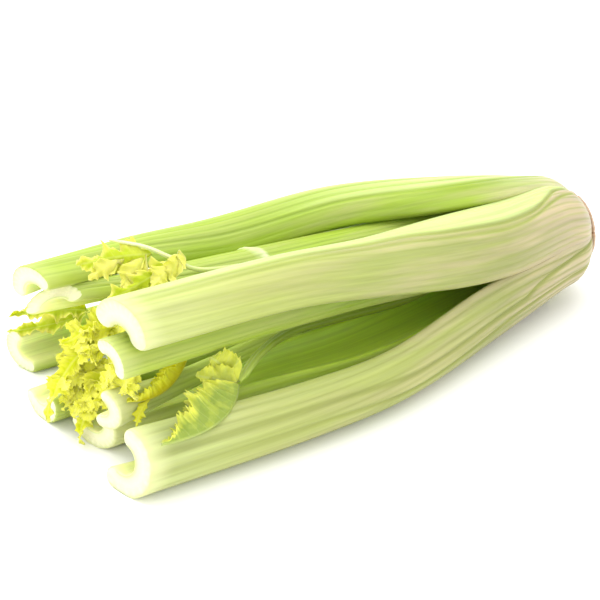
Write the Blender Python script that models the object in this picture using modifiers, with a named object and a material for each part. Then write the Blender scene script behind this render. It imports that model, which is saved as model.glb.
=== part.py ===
"""A trimmed head of celery lying on its side.

Metres, +Z up. The head runs along X: its cut butt is at +X and the trimmed stalk ends are at -X.
The origin is the middle of the head's box, on the surface that it lies on.
Every stalk is a stack of crescent sections, each in a plane of constant X, wrapped round the head's
axis at the butt and opening into a thick U at the trimmed end.
"""

import math

import bmesh
import bpy
from mathutils import Vector

MM = 0.001

# ---------------------------------------------------------------- driving dimensions, millimetres
AXIS = Vector((0.0, -2.0, 35.7))  # of the butt, with the surface at height 0
BOX_SHIFT = Vector((-10.94, -6.92, 0.0))  # from the axis's foot to the middle of the head's box
BUTT_X = 157.0  # the butt's cut face
GAP = 0.3  # between pieces that touch
THICKENING = 12.0  # a stalk reaches its full thickness this far in front of its root
EDGE_SHARE = (0.35, 0.75)  # a stalk's edge thickness over its middle's, at its root and at its tip
LEAF_THICKNESS = 0.9
LEAF_END = 1.2  # half a leaf's width where it starts and ends
LEAF_LOBES = 3
LOBE_DEPTH = 0.22  # of the leaf's width
CRINKLE = 0.9
RING_COUNT = 17  # sections in one stalk, crowded towards its root by this power
RING_CROWDING = 1.7
ARC_POINTS = 9  # points across a section's outer side
LEAF_RINGS = 15  # sections in one leaf
LEAF_POINTS = 7  # points across one

# One layer of stalks at the butt: how far behind the cut face it takes root, the radius of its
# wall's middle at each distance in front of that, its thickness and its half angle round the axis.
OUTER_LAYER = {"root": 2.0, "radius": ((0, 19), (5, 24.5), (12, 28.5), (24, 31.5)),
               "thickness": (5.5, 9.0), "half_angle": 32.0}
INNER_LAYER = {"root": 9.0, "radius": ((0, 12), (5, 15.5), (12, 19), (24, 22), (45, 24)),
               "thickness": (4.0, 6.0), "half_angle": 31.0}
HEART_LAYER = {"root": 16.0, "radius": ((0, 5.5), (5, 7.5), (12, 10), (24, 13), (45, 15)),
               "thickness": (3.0, 4.5), "half_angle": 36.0}

# name: layer, angle round the butt, how far its trimmed end leans back along X for each millimetre
# across and upwards, then sections from the butt to the trimmed end, each as x, y, z of its wall's
# middle, the way that it faces, radius, half angle and thickness. Angles are in degrees, from the
# side facing -Y, upwards.
STALKS = {
    "outer_stalk_1": (OUTER_LAYER, 50, (0.35, 0), (
        (80, -36, 64.2, 45, 30, 38.5, 10), (0, -44.5, 76, 57, 17, 58, 12),
        (-60, -48, 85, 68, 13, 64, 13), (-153, -57.2, 92.6, 80, 11.5, 70, 14))),
    "outer_stalk_2": (OUTER_LAYER, 266, (0.2, 0), (
        (80, 10, 4, 259, 27, 35, 9), (0, 24, 3.8, 260, 14, 58, 10), (-172, 10, 4.8, 285, 10.5, 68, 11))),
    "outer_stalk_3": (OUTER_LAYER, 122, (0.45, 0), (
        (80, 9.5, 76.6, 112, 28, 49, 9.5), (10, 23.5, 80.5, 98, 16, 69, 10),
        (-60, 31.3, 74.5, 92, 12, 76, 9.5), (-110, 33.2, 75.2, 98, 11.5, 62, 9.5),
        (-168, 32.2, 74.8, 120, 10, 68, 10))),
    "outer_stalk_4": (OUTER_LAYER, -22, (0.3, -0.2), (
        (80, -47, 21, -14, 28, 45, 9), (0, -70.6, 16, -10, 15, 68, 11),
        (-60, -77.5, 14.6, -15, 13.5, 78, 11.5), (-157, -78, 13.2, -18, 13, 98, 12.5))),
    "outer_stalk_5": (OUTER_LAYER, 194, (0.45, 0), (
        (80, 36, 28, 192, 29, 35, 9), (0, 62, 14.5, 205, 14, 60, 10), (-166, 68, 8.6, 208, 9, 75, 9.5))),
    "inner_stalk_1": (INNER_LAYER, 20, (0.25, 0), (
        (80, -24, 48, 32, 22, 34, 7), (0, -37, 62.5, 50, 15, 52, 7),
        (-60, -45.1, 66.5, 52, 10.5, 58, 8.5), (-159, -58.7, 73.2, 55, 8.5, 60, 9.5))),
    "inner_stalk_2": (INNER_LAYER, 280, (0.45, 0), (
        (80, -10, 12, 270, 22, 42, 7), (0, -17, 4.6, 260, 17, 62, 8),
        (-60, -19.5, 5, 264, 14, 67, 9), (-158, -25.6, 4.8, 280, 10, 75, 10))),
    "inner_stalk_3": (INNER_LAYER, 96, (1.15, -0.96), (
        (80, 5, 63, 100, 20, 37, 7), (0, 5.5, 65.4, 112, 11, 60, 8),
        (-60, 7.4, 67.3, 108, 8.5, 66, 8), (-110, 13.6, 66.8, 114, 8, 68, 7.5),
        (-157, 24.5, 65, 126, 6.5, 75, 7))),
    "inner_stalk_4": (INNER_LAYER, 172, (0.45, 0), (
        (80, 24, 47, 172, 17, 36, 6), (-20, 42, 46, 172, 9, 60, 7), (-118, 50, 42, 172, 7, 70, 7))),
    "heart_stalk_1": (HEART_LAYER, 310, (0.45, 0), (
        (0, -12, 31, 300, 8, 60, 5.5), (-110, -33, 27.5, 328, 6, 70, 6.5),
        (-157, -49, 32, 346, 8, 78, 8.5))),
}

# name: radius at the butt's end and at the leaf's end, then the points that it passes through.
STEMS = {
    "top_leaf_stem": (2.5, 1.1, (
        (106, -5, 50), (60, -10, 53), (0, -18, 64), (-60, -23, 79), (-96, -25, 86), (-110, -19, 94),
        (-120, -10, 98.5), (-133, 4, 99))),
    "side_leaf_stem": (3.0, 1.9, (
        (112, -8, 43), (70, -18, 42), (28, -27, 36.5), (-26, -32, 40), (-53, -38, 44), (-77, -50, 44.5),
        (-94, -60, 39))),
    "heart_leaf_stem": (3.4, 1.8, ((112, 2, 35), (60, 1, 37), (0, 0, 40), (-70, 2, 41), (-104, 3, 41))),
    "back_leaf_stem": (2.8, 1.2, (
        (112, 10, 43), (60, 18, 33), (0, 32, 26), (-60, 46, 26), (-125, 54, 29.5))),
}

# name: base, middle and tip of its midrib, the way that its face points, half width, and how far
# each half is folded up along the midrib in degrees.
LEAVES = {
    "heart_leaf_1": ((-106, 7, 43), (-148, 3.5, 41.5), (-177.9, -9, 14), (-0.6, -0.5, 0.6), 10, 25),
    "heart_leaf_2": ((-107, -5, 36.5), (-145, -11.5, 29), (-166, -21.5, 2.5), (-0.7, -0.5, 0.4), 10.5, 25),
    "heart_leaf_3": ((-106, 4, 48), (-136, 2, 52), (-163, 4, 46), (-0.3, -0.7, 0.7), 10, 20),
    "curled_leaf": ((-106, -30, 47), (-127, -47, 38), (-151, -52, 41), (-0.6, 0.3, 0.75), 9, 60),
    "top_leaf_1": ((-119, -12, 92.5), (-132, -8, 91), (-149, 2, 87.5), (-0.2, -0.75, 0.6), 9, 20),
    "top_leaf_2": ((-112, -21, 91.5), (-128, -23, 89), (-151, -23, 80), (-0.3, -0.75, 0.55), 8, 25),
    "side_leaf": ((-95, -61, 38.5), (-115, -79, 34), (-149, -87, 36), (-0.1, 0.87, 0.5), 19, 70),
    "back_leaf_1": ((-127, 54, 31), (-146, 53, 37), (-173, 48, 44), (-0.2, -0.5, 0.8), 7, 20),
    "back_leaf_2": ((-127, 56, 28), (-146, 58, 26), (-170, 65, 24), (-0.2, -0.6, 0.7), 6, 20),
}


# ---------------------------------------------------------------- placing
def direction(angle):
    """Unit vector across the head at an angle from -Y, upwards."""
    return Vector((0.0, -math.cos(math.radians(angle)), math.sin(math.radians(angle))))


def blend(first, second, share):
    return first + (second - first) * share


def through(stations, x):
    """A smooth curve through stations of (x, value), read at x."""
    stations = sorted(stations)
    xs = [station[0] for station in stations]
    values = [station[1] for station in stations]
    i = max(k for k in range(len(xs) - 1) if xs[k] <= max(x, xs[0]))

    def slope(k):
        low, high = max(k - 1, 0), min(k + 1, len(xs) - 1)
        return (values[high] - values[low]) / (xs[high] - xs[low])

    width = xs[i + 1] - xs[i]
    t = (x - xs[i]) / width
    low_side = values[i] * (1 + 2 * t) + slope(i) * width * t
    high_side = values[i + 1] * (3 - 2 * t) - slope(i + 1) * width * (1 - t)
    return low_side * (1 - t) ** 2 + high_side * t ** 2


# ---------------------------------------------------------------- shapes
def add(obj):
    head.objects.link(obj)
    return obj


def loft(name, rings, material):
    """A closed solid through rings of equal count, with flat ends."""
    mesh = bpy.data.meshes.new(name)
    bm = bmesh.new()
    made = [[bm.verts.new((point - BOX_SHIFT) * MM) for point in ring] for ring in rings]
    count = len(made[0])
    for first, second in zip(made, made[1:]):
        for k in range(count):
            bm.faces.new((first[k], first[(k + 1) % count], second[(k + 1) % count], second[k]))
    for face in bm.faces:
        face.smooth = True
    bm.faces.new(made[0][::-1])
    bm.faces.new(made[-1])
    bmesh.ops.recalc_face_normals(bm, faces=bm.faces)
    bm.to_mesh(mesh)
    bm.free()
    mesh.materials.append(material)
    return add(bpy.data.objects.new(name, mesh))


def crescent(radius, half_angle, thickness, edge):
    """A crescent's outline as (across, outwards) pairs about the middle of its wall."""
    half_angle = math.radians(half_angle)
    outer, inner = [], []
    for k in range(ARC_POINTS):
        side = 2 * k / (ARC_POINTS - 1) - 1
        half = thickness / 2 * (1 - (1 - edge) * side ** 2)
        angle = side * half_angle
        for line, r in ((outer, radius + half), (inner, radius - half)):
            line.append((r * math.sin(angle), r * math.cos(angle) - radius))
    round_off = thickness * edge / 2
    edge_u = radius * math.sin(half_angle) + round_off * math.cos(half_angle)
    edge_v = radius * (math.cos(half_angle) - 1) - round_off * math.sin(half_angle)
    return outer + [(edge_u, edge_v)] + inner[::-1] + [(-edge_u, edge_v)]


def root_sections(layer, angle):
    """A stalk's sections from its root to its shoulder, as its layer has them."""
    for ahead, radius in layer["radius"]:
        middle = AXIS + direction(angle) * radius
        thickness = blend(*layer["thickness"], min(1.0, ahead / THICKENING))
        x = BUTT_X - layer["root"] - ahead
        yield x, middle.y, middle.z, angle, radius, layer["half_angle"], thickness


def stalk(name, layer, angle, lean, sections):
    rows = [*root_sections(layer, angle), *sections]
    columns = [[(row[0], value) for row, value in zip(rows, column)] for column in zip(*rows)][1:]
    rings = []
    for k in range(RING_COUNT):
        share = (k / (RING_COUNT - 1)) ** RING_CROWDING
        x = blend(rows[0][0], rows[-1][0], share)
        y, z, facing, radius, half_angle, thickness = (through(column, x) for column in columns)
        out, across = direction(facing), direction(facing - 90)
        ring = []
        for u, v in crescent(radius, half_angle, thickness, blend(*EDGE_SHARE, share)):
            point = Vector((x, y, z)) + across * u + out * v
            point.x -= ((point.y - y) * lean[0] + (point.z - z) * lean[1]) * share ** 3
            point.z = max(point.z, 0.0)
            ring.append(point)
        rings.append(ring)
    return loft(name, rings, green)


def stem(name, base_radius, leaf_radius, points):
    curve = bpy.data.curves.new(name, "CURVE")
    curve.dimensions = "3D"
    curve.bevel_depth = base_radius * MM
    curve.bevel_resolution = 1
    curve.resolution_u = 3
    curve.use_fill_caps = True
    line = curve.splines.new("BEZIER")
    line.bezier_points.add(len(points) - 1)
    for k, point in enumerate(points):
        bezier = line.bezier_points[k]
        bezier.co = (Vector(point) - BOX_SHIFT) * MM
        bezier.handle_left_type = bezier.handle_right_type = "AUTO"
        bezier.radius = blend(1.0, leaf_radius / base_radius, k / (len(points) - 1))
    curve.materials.append(pale)
    return add(bpy.data.objects.new(name, curve))


def leaf(name, base, middle, tip, face, half_width, fold):
    """A lobed blade on a curved midrib, folded up along it and slightly crinkled."""
    base, middle, tip, face = Vector(base), Vector(middle), Vector(tip), Vector(face)
    fold = math.radians(fold)
    rings = []
    for k in range(LEAF_RINGS):
        t = k / (LEAF_RINGS - 1)
        centre = base * (1 - t) * (1 - 2 * t) + middle * 4 * t * (1 - t) + tip * t * (2 * t - 1)
        along = base * (4 * t - 3) + middle * (4 - 8 * t) + tip * (4 * t - 1)
        across = along.cross(face).normalized()
        up = across.cross(along).normalized()
        lobes = 1 + LOBE_DEPTH * math.cos(2 * math.pi * LEAF_LOBES * t)
        swell = math.sin(math.pi * t ** 0.8) ** 0.8 * lobes
        width = blend(LEAF_END, half_width, swell)
        top, bottom = [], []
        for i in range(LEAF_POINTS):
            side = 2 * i / (LEAF_POINTS - 1) - 1
            hand = (side > 0) - (side < 0)
            outwards = (up * math.cos(fold) - across * hand * math.sin(fold)) if hand else up
            reach = abs(side) * width
            point = centre + across * hand * reach * math.cos(fold) + up * reach * math.sin(fold)
            point += outwards * CRINKLE * math.sin(9 * t + 3 * side) * abs(side)
            top.append(point + outwards * LEAF_THICKNESS / 2)
            bottom.append(point - outwards * LEAF_THICKNESS / 2)
        rings.append(top + bottom[::-1])
    return loft(name, rings, yellow)


def butt():
    """The stem's root end, turned about the head's axis, with a step for each layer's roots."""
    outer_step = OUTER_LAYER["root"] - GAP
    inner_step = INNER_LAYER["root"] - GAP
    heart_step = HEART_LAYER["root"] - GAP
    profile = [  # radius, and depth behind the cut face
        (0, 0), (21.5, 0), (22.3, 0.8), (22.3, outer_step), (15.6, outer_step),
        (14.6, inner_step), (9.6, inner_step), (7.6, heart_step), (3.6, heart_step), (2, 24), (0, 27)]
    mesh = bpy.data.meshes.new("butt")
    corners = [Vector((BUTT_X - depth, 0.0, radius)) * MM for radius, depth in profile]
    mesh.from_pydata(corners, [(k, k + 1) for k in range(len(corners) - 1)], [])
    mesh.materials.append(cut_cream)
    made = add(bpy.data.objects.new("butt", mesh))
    made.location = (AXIS - BOX_SHIFT) * MM
    screw = made.modifiers.new("turn", "SCREW")
    screw.axis = "X"
    screw.steps = screw.render_steps = 40
    screw.use_merge_vertices = True
    screw.merge_threshold = 0.00001
    return made


def plain_material(name, colour, roughness):
    made = bpy.data.materials.new(name)
    made.use_nodes = True
    shader = made.node_tree.nodes["Principled BSDF"]
    shader.inputs["Base Color"].default_value = (*colour, 1.0)
    shader.inputs["Roughness"].default_value = roughness
    shader.inputs["Metallic"].default_value = 0.0
    return made


# ---------------------------------------------------------------- the head
for old in list(bpy.data.objects):
    bpy.data.objects.remove(old)
head = bpy.data.collections.new("celery_head")
bpy.context.scene.collection.children.link(head)
green = plain_material("stalk_green", (0.42, 0.6, 0.16), 0.4)
pale = plain_material("stem_pale", (0.6, 0.68, 0.3), 0.4)
yellow = plain_material("leaf_yellow", (0.65, 0.7, 0.08), 0.5)
cut_cream = plain_material("cut_cream", (0.62, 0.48, 0.3), 0.7)
butt()
for piece, facts in STALKS.items():
    stalk(piece, *facts)
for piece, facts in STEMS.items():
    stem(piece, *facts)
for piece, facts in LEAVES.items():
    leaf(piece, *facts)
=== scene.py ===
"""A trimmed head of celery lying on its side: the finish of every stalk, stem and leaf.

Lengths are in millimetres until a mesh is made. The head's axis runs along X, with the cut butt at
+X and the trimmed ends at -X, and the surface that it lies on is at height 0.
"""

import math
import random

import bpy
import numpy as np
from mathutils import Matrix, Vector, noise


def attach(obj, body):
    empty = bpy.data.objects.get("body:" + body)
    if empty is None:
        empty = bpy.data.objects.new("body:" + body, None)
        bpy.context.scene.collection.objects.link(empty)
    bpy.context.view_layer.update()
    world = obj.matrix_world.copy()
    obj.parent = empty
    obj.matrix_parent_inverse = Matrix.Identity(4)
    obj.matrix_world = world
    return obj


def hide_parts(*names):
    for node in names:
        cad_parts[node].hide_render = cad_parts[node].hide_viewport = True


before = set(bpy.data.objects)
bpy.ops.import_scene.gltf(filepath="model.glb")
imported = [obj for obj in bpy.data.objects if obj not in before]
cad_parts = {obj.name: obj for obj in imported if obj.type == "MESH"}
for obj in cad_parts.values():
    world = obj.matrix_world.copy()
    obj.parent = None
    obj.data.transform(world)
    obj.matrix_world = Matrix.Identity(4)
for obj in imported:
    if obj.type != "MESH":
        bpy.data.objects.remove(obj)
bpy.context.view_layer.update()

# ---------------------------------------------------------------- the butt
# The stem that every stalk grows from, cut off square with one stroke of a knife: a disc of pale pith
# ringed by the crescent bases of the stalks. It has been in the air for days, so it is tan, and brown
# along its rim.
MM = 0.001
ORIGIN = np.array((10.94, 6.92, 0.0))  # from the foot of the head's axis to the middle of its box
AXIS = np.array((0.0, -2.0, 35.7))
BUTT_X = 157.0
BUTT_RADIUS = 21.9
BUTT_CHAMFER = 0.8
TAPER = 0.02  # radius of the point that each end of its profile closes to
# Behind the cut its side steps in to each layer's roots, as radius and depth.
OUTER_STEP, INNER_STEP, HEART_STEP = 1.7, 8.7, 15.7
BUTT_SIDE = ((BUTT_RADIUS - 0.25, 0.2), (BUTT_RADIUS, BUTT_CHAMFER), (BUTT_RADIUS, OUTER_STEP),
             (15.6, OUTER_STEP), (14.6, INNER_STEP), (9.6, INNER_STEP), (7.6, HEART_STEP), (3.6, HEART_STEP),
             (2, 24), (TAPER, 27))
SEAM_ANGLES = (14, 86, 158, 230, 302)  # between the outer stalks, round the axis from -Y upwards
SEAM_SLANT = 0.55  # radians from the middle to the rim, because each base curls over its neighbour
LAYER_LINES = ((15.8, 0.4), (9.2, 1.3))  # between layers: radius, and where its waves start
LAYER_WAVE = 0.5
LAYER_LINE_DEPTH = 0.8  # of a seam's
BUTT_SPOKES = 180
BUTT_RINGS = 64
CUT_DISH = 0.9  # how far the middle of the cut has shrunk in
CUT_CROWN = 0.25
CUT_RAGGED = 0.25
RAGGED_SCALE = 0.35  # per millimetre, so that the knife's marks are about 3 mm apart
FOLD_DEPTH = 0.55  # of the dark line between two stalk bases
FOLD_WIDTH = 0.35
RIM_NOTCH = 0.9
NOTCH_WIDTH = 1.6
LINES_START, NOTCHES_START = 0.7, 0.85  # of its radius


def linear(hex_colour, alpha=1.0):
    """An sRGB hex colour as linear RGBA."""
    shares = [int(hex_colour[k:k + 2], 16) / 255 for k in (1, 3, 5)]
    return (*(c / 12.92 if c <= 0.04045 else ((c + 0.055) / 1.055) ** 2.4 for c in shares), alpha)


def add_node(tree, kind, inputs=None, stops=None, **settings):
    """Adds a node. An input is a value or the output that feeds it, and stops are a ramp's colours."""
    made = tree.nodes.new("ShaderNode" + kind)
    for name, value in settings.items():
        setattr(made, name, value)
    for name, value in (inputs or {}).items():
        if isinstance(value, bpy.types.NodeSocket):
            tree.links.new(value, made.inputs[name])
        else:
            made.inputs[name].default_value = value
    for k, (place, colour) in enumerate(stops or ()):
        ramp = made.color_ramp.elements
        stop = ramp[k] if k < len(ramp) else ramp.new(place)
        stop.position = place
        stop.color = linear(colour)
    return made


def new_material(name, roughness, ior=1.4, subsurface=0.0, radius=(0.0, 0.0, 0.0)):
    """A Principled material whose plain values are set on the shader's own sockets."""
    material = bpy.data.materials.new(name)
    material.use_nodes = True
    shader = material.node_tree.nodes["Principled BSDF"]
    shader.inputs["Roughness"].default_value = roughness
    shader.inputs["IOR"].default_value = ior
    shader.inputs["Subsurface Weight"].default_value = subsurface
    shader.inputs["Subsurface Radius"].default_value = [r * MM for r in radius]
    shader.inputs["Subsurface Scale"].default_value = 1.0
    return material, material.node_tree, shader


def add_piece(name, points, faces, materials, marks, node, slots=None):
    """Makes a piece of the head from its points in the head's millimetres, and puts it on the frame.

    marks holds the values that its materials read at each point, and slots holds each face's
    material where there are several.
    """
    mesh = bpy.data.meshes.new(name)
    mesh.from_pydata(((np.asarray(points) + ORIGIN) * MM).tolist(), [], faces)
    mesh.polygons.foreach_set("use_smooth", [True] * len(faces))
    for material in materials:
        mesh.materials.append(material)
    if slots:
        mesh.polygons.foreach_set("material_index", slots)
    for mark, values in marks.items():
        values = np.asarray(values, np.float32)
        kind, field = ("FLOAT_VECTOR", "vector") if values.ndim == 2 else ("FLOAT", "value")
        mesh.attributes.new(mark, kind, "POINT").data.foreach_set(field, values.ravel())
    mesh.validate()
    mesh.update()
    piece = bpy.data.objects.new(name, mesh)
    bpy.context.scene.collection.objects.link(piece)
    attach(piece, "root")
    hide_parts(node)


def tube_faces(rings, count):
    """The side of a tube made of rings with count points each."""
    faces = []
    for here in range(0, (rings - 1) * count, count):
        for i in range(count):
            after = (i + 1) % count
            faces.append((here + i, here + after, here + count + after, here + count + i))
    return faces


def ring_ends(rings, count):
    """The faces that close a tube's first and last rings."""
    return [tuple(range(count))[::-1], tuple(range((rings - 1) * count, rings * count))]


def groove(distance, width):
    """A soft line's strength at a distance from its middle."""
    return np.exp(-(distance / width) ** 2)


def build_butt():
    """A turned disc whose face is dished and lined, with its rim notched at each seam."""
    face_edge = BUTT_RADIUS - BUTT_CHAMFER
    profile = [(TAPER + (face_edge - TAPER) * k / BUTT_RINGS, 0.0) for k in range(BUTT_RINGS + 1)]
    profile += BUTT_SIDE
    turn = np.linspace(0, 2 * math.pi, BUTT_SPOKES, endpoint=False)
    points, edge, fold = [], [], []
    for radius, depth in profile:
        share = radius / BUTT_RADIUS
        wrap = np.full_like(turn, 1e3)
        for seam in SEAM_ANGLES:
            off = turn - math.radians(seam) - SEAM_SLANT * (1 - share)
            off = (off + math.pi) % (2 * math.pi) - math.pi
            wrap = np.minimum(wrap, np.abs(off) * radius)
        lines = groove(wrap, FOLD_WIDTH) * (share > LINES_START)
        for limit, phase in LAYER_LINES:
            limit = limit + LAYER_WAVE * np.sin(5 * turn + phase)
            lines = np.maximum(lines, LAYER_LINE_DEPTH * groove(radius - limit, FOLD_WIDTH))
        notch = RIM_NOTCH * groove(wrap, NOTCH_WIDTH) * max(0.0, share - NOTCHES_START) / (1 - NOTCHES_START)
        across, up = np.cos(turn), np.sin(turn)
        scaled = radius * RAGGED_SCALE
        ragged = [noise.noise((scaled * a, scaled * b, 0.0)) for a, b in zip(across, up)]
        x = np.full_like(turn, BUTT_X - depth - CUT_CROWN)
        if depth == 0.0:
            x += CUT_CROWN * share - FOLD_DEPTH * lines - CUT_RAGGED * share * np.array(ragged)
            x -= CUT_DISH * max(0.0, 1 - share ** 2) * (radius < face_edge)
        out = radius - notch
        points.append(np.stack((x, AXIS[1] - out * across, AXIS[2] + out * up), 1))
        edge.append(np.full_like(turn, share))
        fold.append(lines)
    faces = tube_faces(len(profile), BUTT_SPOKES) + ring_ends(len(profile), BUTT_SPOKES)
    add_piece("butt_cut", np.concatenate(points), faces, [dried_cut()],
              {"edge": np.concatenate(edge), "fold": np.concatenate(fold)}, "butt")


def dried_cut():
    """Celery pith, knife cut and air dried: matt and cream in the middle, tan to brown at the rim."""
    material, tree, shader = new_material("dried_celery_cut", roughness=0.7, subsurface=0.1,
                                          radius=(2.0, 1.2, 0.5))
    edge, fold = (add_node(tree, "Attribute", attribute_name=mark).outputs["Fac"]
                  for mark in ("edge", "fold"))
    place = add_node(tree, "TexCoord").outputs["Object"]
    # Blotches are about 5 mm across, and the pith's pores 1 mm apart.
    blotch = add_node(tree, "TexNoise", {"Vector": place, "Scale": 220.0, "Detail": 4.0}).outputs["Fac"]
    pores = add_node(tree, "TexVoronoi", {"Vector": place, "Scale": 900.0}).outputs["Distance"]
    spread = add_node(tree, "MapRange", {"Value": blotch, "From Min": 0.3, "From Max": 0.7, "To Min": -0.12,
                                         "To Max": 0.12}).outputs["Result"]
    where = add_node(tree, "Math", {0: edge, 1: spread}, operation="ADD").outputs["Value"]
    rings = add_node(tree, "ValToRGB", {"Fac": where}, stops=(
        (0.0, "#d2c8a2"), (0.4, "#cdbd92"), (0.7, "#c2a882"), (0.95, "#b59478"), (1.0, "#bda48c")))
    dark = add_node(tree, "Mix", {0: fold, 6: rings.outputs["Color"], 7: linear("#7a5538")}, data_type="RGBA")
    shade = add_node(tree, "MapRange", {"Value": pores, "From Max": 0.5, "To Min": 0.86, "To Max": 1.0})
    spots = add_node(tree, "Mix", {0: 1.0, 6: dark.outputs[2], 7: shade.outputs["Result"]}, data_type="RGBA",
                     blend_type="MULTIPLY")
    relief = add_node(tree, "Bump", {"Height": pores, "Strength": 0.35, "Distance": 0.3 * MM})
    tree.links.new(spots.outputs[2], shader.inputs["Base Color"])
    tree.links.new(relief.outputs["Normal"], shader.inputs["Normal"])
    return material


build_butt()

# ---------------------------------------------------------------- the stalks
# Ten leaf stalks in three layers round the heart, each a thick crescent of crisp watery flesh. The
# outer side has a dozen rounded ribs over tough strings, the inner side is a smooth channel, and the
# far end is a knife cut that shows white flesh and a row of strings.
THICKENING = 12.0  # a stalk reaches its full thickness this far in front of its root
EDGE_SHARE = (0.35, 0.85)  # edge thickness over middle thickness, at the root and at the tip
OUTER_LAYER = {"root": 2.0, "radius": ((0, 19), (5, 24.5), (12, 28.5), (24, 31.5)),
               "thickness": (5.5, 9.0), "half_angle": 32.0}
INNER_LAYER = {"root": 9.0, "radius": ((0, 12), (5, 15.5), (12, 19), (24, 22), (45, 24)),
               "thickness": (4.0, 6.0), "half_angle": 31.0}
HEART_LAYER = {"root": 16.0, "radius": ((0, 5.5), (5, 7.5), (12, 10), (24, 13), (45, 15)),
               "thickness": (3.0, 4.5), "half_angle": 36.0}
# name: layer, angle round the butt, how far its trimmed end leans back along X for each millimetre
# across and upwards, then sections from the butt to the trimmed end, each as x, y, z of its wall's
# middle, the way that it faces, radius, half angle and thickness.
STALKS = {
    "outer_stalk_1": (OUTER_LAYER, 50, (0.35, 0), (
        (80, -36, 64.2, 45, 30, 38.5, 10), (0, -44.5, 76, 57, 17, 58, 12),
        (-60, -48, 85, 68, 13, 64, 13), (-153, -57.2, 92.6, 80, 11.5, 70, 14))),
    "outer_stalk_2": (OUTER_LAYER, 266, (0.2, 0), (
        (80, 10, 4, 259, 27, 35, 9), (0, 24, 3.8, 260, 14, 58, 10), (-172, 10, 4.8, 285, 10.5, 68, 11))),
    "outer_stalk_3": (OUTER_LAYER, 122, (0.45, 0), (
        (80, 9.5, 76.6, 112, 28, 49, 9.5), (10, 23.5, 80.5, 98, 16, 69, 10),
        (-60, 31.3, 74.5, 92, 12, 76, 9.5), (-110, 33.2, 75.2, 98, 11.5, 62, 9.5),
        (-168, 32.2, 74.8, 120, 10, 68, 10))),
    "outer_stalk_4": (OUTER_LAYER, -22, (0.3, -0.2), (
        (80, -47, 21, -14, 28, 45, 9), (0, -70.6, 16, -10, 15, 68, 11),
        (-60, -77.5, 14.6, -15, 13.5, 78, 11.5), (-157, -78, 13.2, -18, 13, 98, 12.5))),
    "outer_stalk_5": (OUTER_LAYER, 194, (0.45, 0), (
        (80, 36, 28, 192, 29, 35, 9), (0, 62, 14.5, 205, 14, 60, 10), (-166, 68, 8.6, 208, 9, 75, 9.5))),
    "inner_stalk_1": (INNER_LAYER, 20, (0.25, 0), (
        (80, -24, 48, 32, 22, 34, 7), (0, -37, 62.5, 50, 15, 52, 7),
        (-60, -45.1, 66.5, 52, 10.5, 58, 8.5), (-159, -58.7, 73.2, 55, 8.5, 60, 9.5))),
    "inner_stalk_2": (INNER_LAYER, 280, (0.45, 0), (
        (80, -10, 12, 270, 22, 42, 7), (0, -17, 4.6, 260, 17, 62, 8),
        (-60, -19.5, 5, 264, 14, 67, 9), (-158, -25.6, 4.8, 280, 10, 75, 10))),
    "inner_stalk_3": (INNER_LAYER, 96, (1.15, -0.96), (
        (80, 5, 63, 100, 20, 37, 7), (0, 5.5, 65.4, 112, 11, 60, 8),
        (-60, 7.4, 67.3, 108, 8.5, 66, 8), (-110, 13.6, 66.8, 114, 8, 68, 7.5),
        (-157, 24.5, 65, 126, 6.5, 75, 7))),
    "inner_stalk_4": (INNER_LAYER, 172, (0.45, 0), (
        (80, 24, 47, 172, 17, 36, 6), (-20, 42, 46, 172, 9, 60, 7), (-118, 50, 42, 172, 7, 70, 7))),
    "heart_stalk_1": (HEART_LAYER, 310, (0.45, 0), (
        (0, -12, 31, 300, 8, 60, 5.5), (-110, -33, 27.5, 328, 6, 70, 6.5),
        (-157, -49, 32, 346, 8, 78, 8.5))),
}
# name: how many ribs, and how strong they are near the root and near the trimmed end.
RIBS = {
    "outer_stalk_1": (12, 1.5, 0.3), "outer_stalk_2": (12, 1.2, 0.7), "outer_stalk_3": (10, 0.7, 0.5),
    "outer_stalk_4": (11, 2.8, 0.5), "outer_stalk_5": (12, 1.2, 0.8), "inner_stalk_1": (10, 1.0, 0.4),
    "inner_stalk_2": (11, 1.0, 0.7), "inner_stalk_3": (10, 1.2, 0.8), "inner_stalk_4": (10, 1.0, 0.6),
    "heart_stalk_1": (8, 1.0, 0.5),
}
STALK_RINGS = 130
RING_CROWDING = 1.5  # the rings lie closer together near the root
OUTER_POINTS = 97  # across the ribbed side, so that each rib has about eight
CUT_CELLS = 8  # through the wall's thickness
CUT_ROUNDING = ((1.2, 0.0), (0.6, 0.12), (0.2, 0.36), (0.0, 0.7))  # behind the cut, inset
RIB_DEPTHS = (0.3, 0.85)  # in the middle of the outer side, and at its edges
RIB_SPREAD = 1.08  # how far the ribs reach across, a little past the edges
RIB_ROUNDNESS = 0.55
RIB_WANDER = 0.012
RIB_WAVES = (41, 23)
RIB_FADE = 0.55  # of the stalk, over which the ribs go from one strength to the other
SEAM_CLOSING = 3.0  # degrees by which each edge reaches towards its neighbour at the root
SEAM_LENGTH = 0.25  # of the stalk, over which they part
CUT_HOLLOW = 0.5
CUT_ROUGH = 0.18
ROUGH_SCALE = 0.9  # per millimetre
STRING_BUMP = 0.12
STRING_DEPTH = 0.22  # of the wall's thickness, behind the middle of each rib
STRING_WIDTH, STRING_HEIGHT = 0.0393, 0.1167  # across and through the wall
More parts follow.
